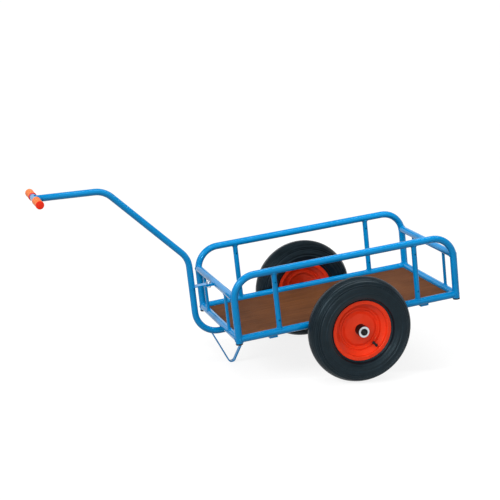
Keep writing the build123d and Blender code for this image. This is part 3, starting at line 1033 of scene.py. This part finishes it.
class HANDCART_OT_stage(bpy.types.Operator):
    """Sets up the pale floor, the soft light and the camera."""

    bl_idname = "handcart.stage"
    bl_label = "Set the stage"

    def execute(self, context):
        scene = context.scene
        look = scene.hand_cart

        # The room shows white to a little above the horizon, and it lights the cart evenly and dimly
        world = bpy.data.worlds.new("studio room")
        world.use_nodes = True
        tree = world.node_tree
        tree.nodes.clear()
        heading = add(tree, "ShaderNodeTexCoord").outputs["Generated"]
        height = add(tree, "ShaderNodeSeparateXYZ", {"Vector": heading}).outputs["Z"]
        strength = add(
            tree,
            "ShaderNodeMapRange",
            {"Value": height, "From Min": 0.3, "From Max": 0.6, "To Min": 1.0, "To Max": 0.25},
            interpolation_type="SMOOTHSTEP",
        )
        seen = add(
            tree,
            "ShaderNodeMix",
            {0: shown_rays(tree), 2: look.room_light, 3: strength.outputs["Result"]},
        )
        sky = add(tree, "ShaderNodeBackground", {"Color": (1, 1, 1, 1), "Strength": seen.outputs[0]})
        add(tree, "ShaderNodeOutputWorld", {"Surface": sky.outputs[0]})
        scene.world = world

        shape = bmesh.new()
        bmesh.ops.create_grid(shape, x_segments=1, y_segments=1, size=FLOOR_REACH)
        mesh = bpy.data.meshes.new("floor")
        shape.to_mesh(mesh)
        shape.free()
        floor = bpy.data.objects.new("floor", mesh)
        scene.collection.objects.link(floor)
        paper = bpy.data.materials.new("white paper floor")
        paper.use_nodes = True
        tree = paper.node_tree
        tree.nodes.clear()
        # To the rays that light the cart the floor is dim; where it shows it is white, with the shadow
        lit = add(tree, "ShaderNodeBsdfDiffuse", {"Color": (0.12, 0.12, 0.12, 1)})
        faint = add(tree, "ShaderNodeBsdfDiffuse", {"Color": (0.22, 0.22, 0.22, 1)})
        glow = add(tree, "ShaderNodeEmission", {"Color": (1, 1, 1, 1), "Strength": 0.84})
        white = add(tree, "ShaderNodeAddShader", {0: faint.outputs[0], 1: glow.outputs[0]})
        both = add(
            tree, "ShaderNodeMixShader", {0: shown_rays(tree), 1: lit.outputs[0], 2: white.outputs[0]}
        )
        add(tree, "ShaderNodeOutputMaterial", {"Surface": both.outputs[0]})
        mesh.materials.append(paper)

        # A lamp's name, the way to it in the bed frame, the width of its disc in degrees, its strength
        for name, where, width, strength in (
            ("key lamp", (0.7, 0.35, 0.7), 25, look.key_light),
            ("front lamp", (0.3, 0.9, 0.4), 90, look.front_light),
            ("window", (0.14, 1.0, 0.06), 2.5, look.window_light),
            ("side lamp", (-0.25, -0.95, 0.2), 90, look.side_light),
        ):
            lamp = bpy.data.lights.new(name, "SUN")
            lamp.angle = math.radians(width)
            lamp.energy = strength
            holder = bpy.data.objects.new(name, lamp)
            beam = bed.to_3x3() @ Vector(where)
            holder.rotation_euler = beam.to_track_quat("Z", "Y").to_euler()
            holder.location = beam * 3
            scene.collection.objects.link(holder)

        # A long soft box overhead draws the line of light along each lengthwise tube
        lamp = bpy.data.lights.new("soft box", "AREA")
        lamp.shape = "RECTANGLE"
        lamp.size = 2.4
        lamp.size_y = 0.26
        lamp.energy = look.box_light
        holder = bpy.data.objects.new("soft box", lamp)
        holder.matrix_world = bed @ Matrix.Translation((-0.45, 0.25, 1.6))
        scene.collection.objects.link(holder)

        camera = bpy.data.cameras.new("photo camera")
        camera.sensor_width = 36.0
        camera.lens = CAMERA_LENS
        camera.clip_end = FLOOR_REACH
        turned = Matrix((CAMERA_RIGHT, -CAMERA_DOWN, -CAMERA_FORWARD)).transposed().to_4x4()
        turned.translation = CAMERA_PLACE
        eye = bpy.data.objects.new("photo camera", camera)
        eye.matrix_world = bed @ turned
        scene.collection.objects.link(eye)
        scene.camera = eye
        scene.view_settings.view_transform = "Standard"
        return {"FINISHED"}


OPERATORS = (
    HANDCART_OT_coatings,
    HANDCART_OT_frame_welds,
    HANDCART_OT_gear_welds,
    HANDCART_OT_tie_bolt,
    HANDCART_OT_tyres,
    HANDCART_OT_wheel_fittings,
    HANDCART_OT_grips,
    HANDCART_OT_stage,
)


class HANDCART_PT_panel(bpy.types.Panel):
    """Lists the hand cart's settings and steps."""

    bl_idname = "HANDCART_PT_panel"
    bl_label = "Hand cart"
    bl_space_type = "VIEW_3D"
    bl_region_type = "UI"
    bl_category = "Hand cart"

    def draw(self, context):
        look = context.scene.hand_cart
        for name in HandCartSettings.__annotations__:
            self.layout.prop(look, name)
        for operator in OPERATORS:
            self.layout.operator(operator.bl_idname)


CLASSES = (HandCartSettings, *OPERATORS, HANDCART_PT_panel)


def register():
    for item in CLASSES:
        bpy.utils.register_class(item)
    bpy.types.Scene.hand_cart = PointerProperty(type=HandCartSettings)


def unregister():
    del bpy.types.Scene.hand_cart
    for item in reversed(CLASSES):
        bpy.utils.unregister_class(item)


def main():
    """Registers the add-on and makes everything."""
    register()
    bpy.ops.handcart.coatings()
    bpy.ops.handcart.frame_welds()
    bpy.ops.handcart.gear_welds()
    bpy.ops.handcart.tie_bolt()
    bpy.ops.handcart.tyres()
    bpy.ops.handcart.wheel_fittings()
    bpy.ops.handcart.grips()
    bpy.ops.handcart.stage()


if __name__ == "__main__":
    main()
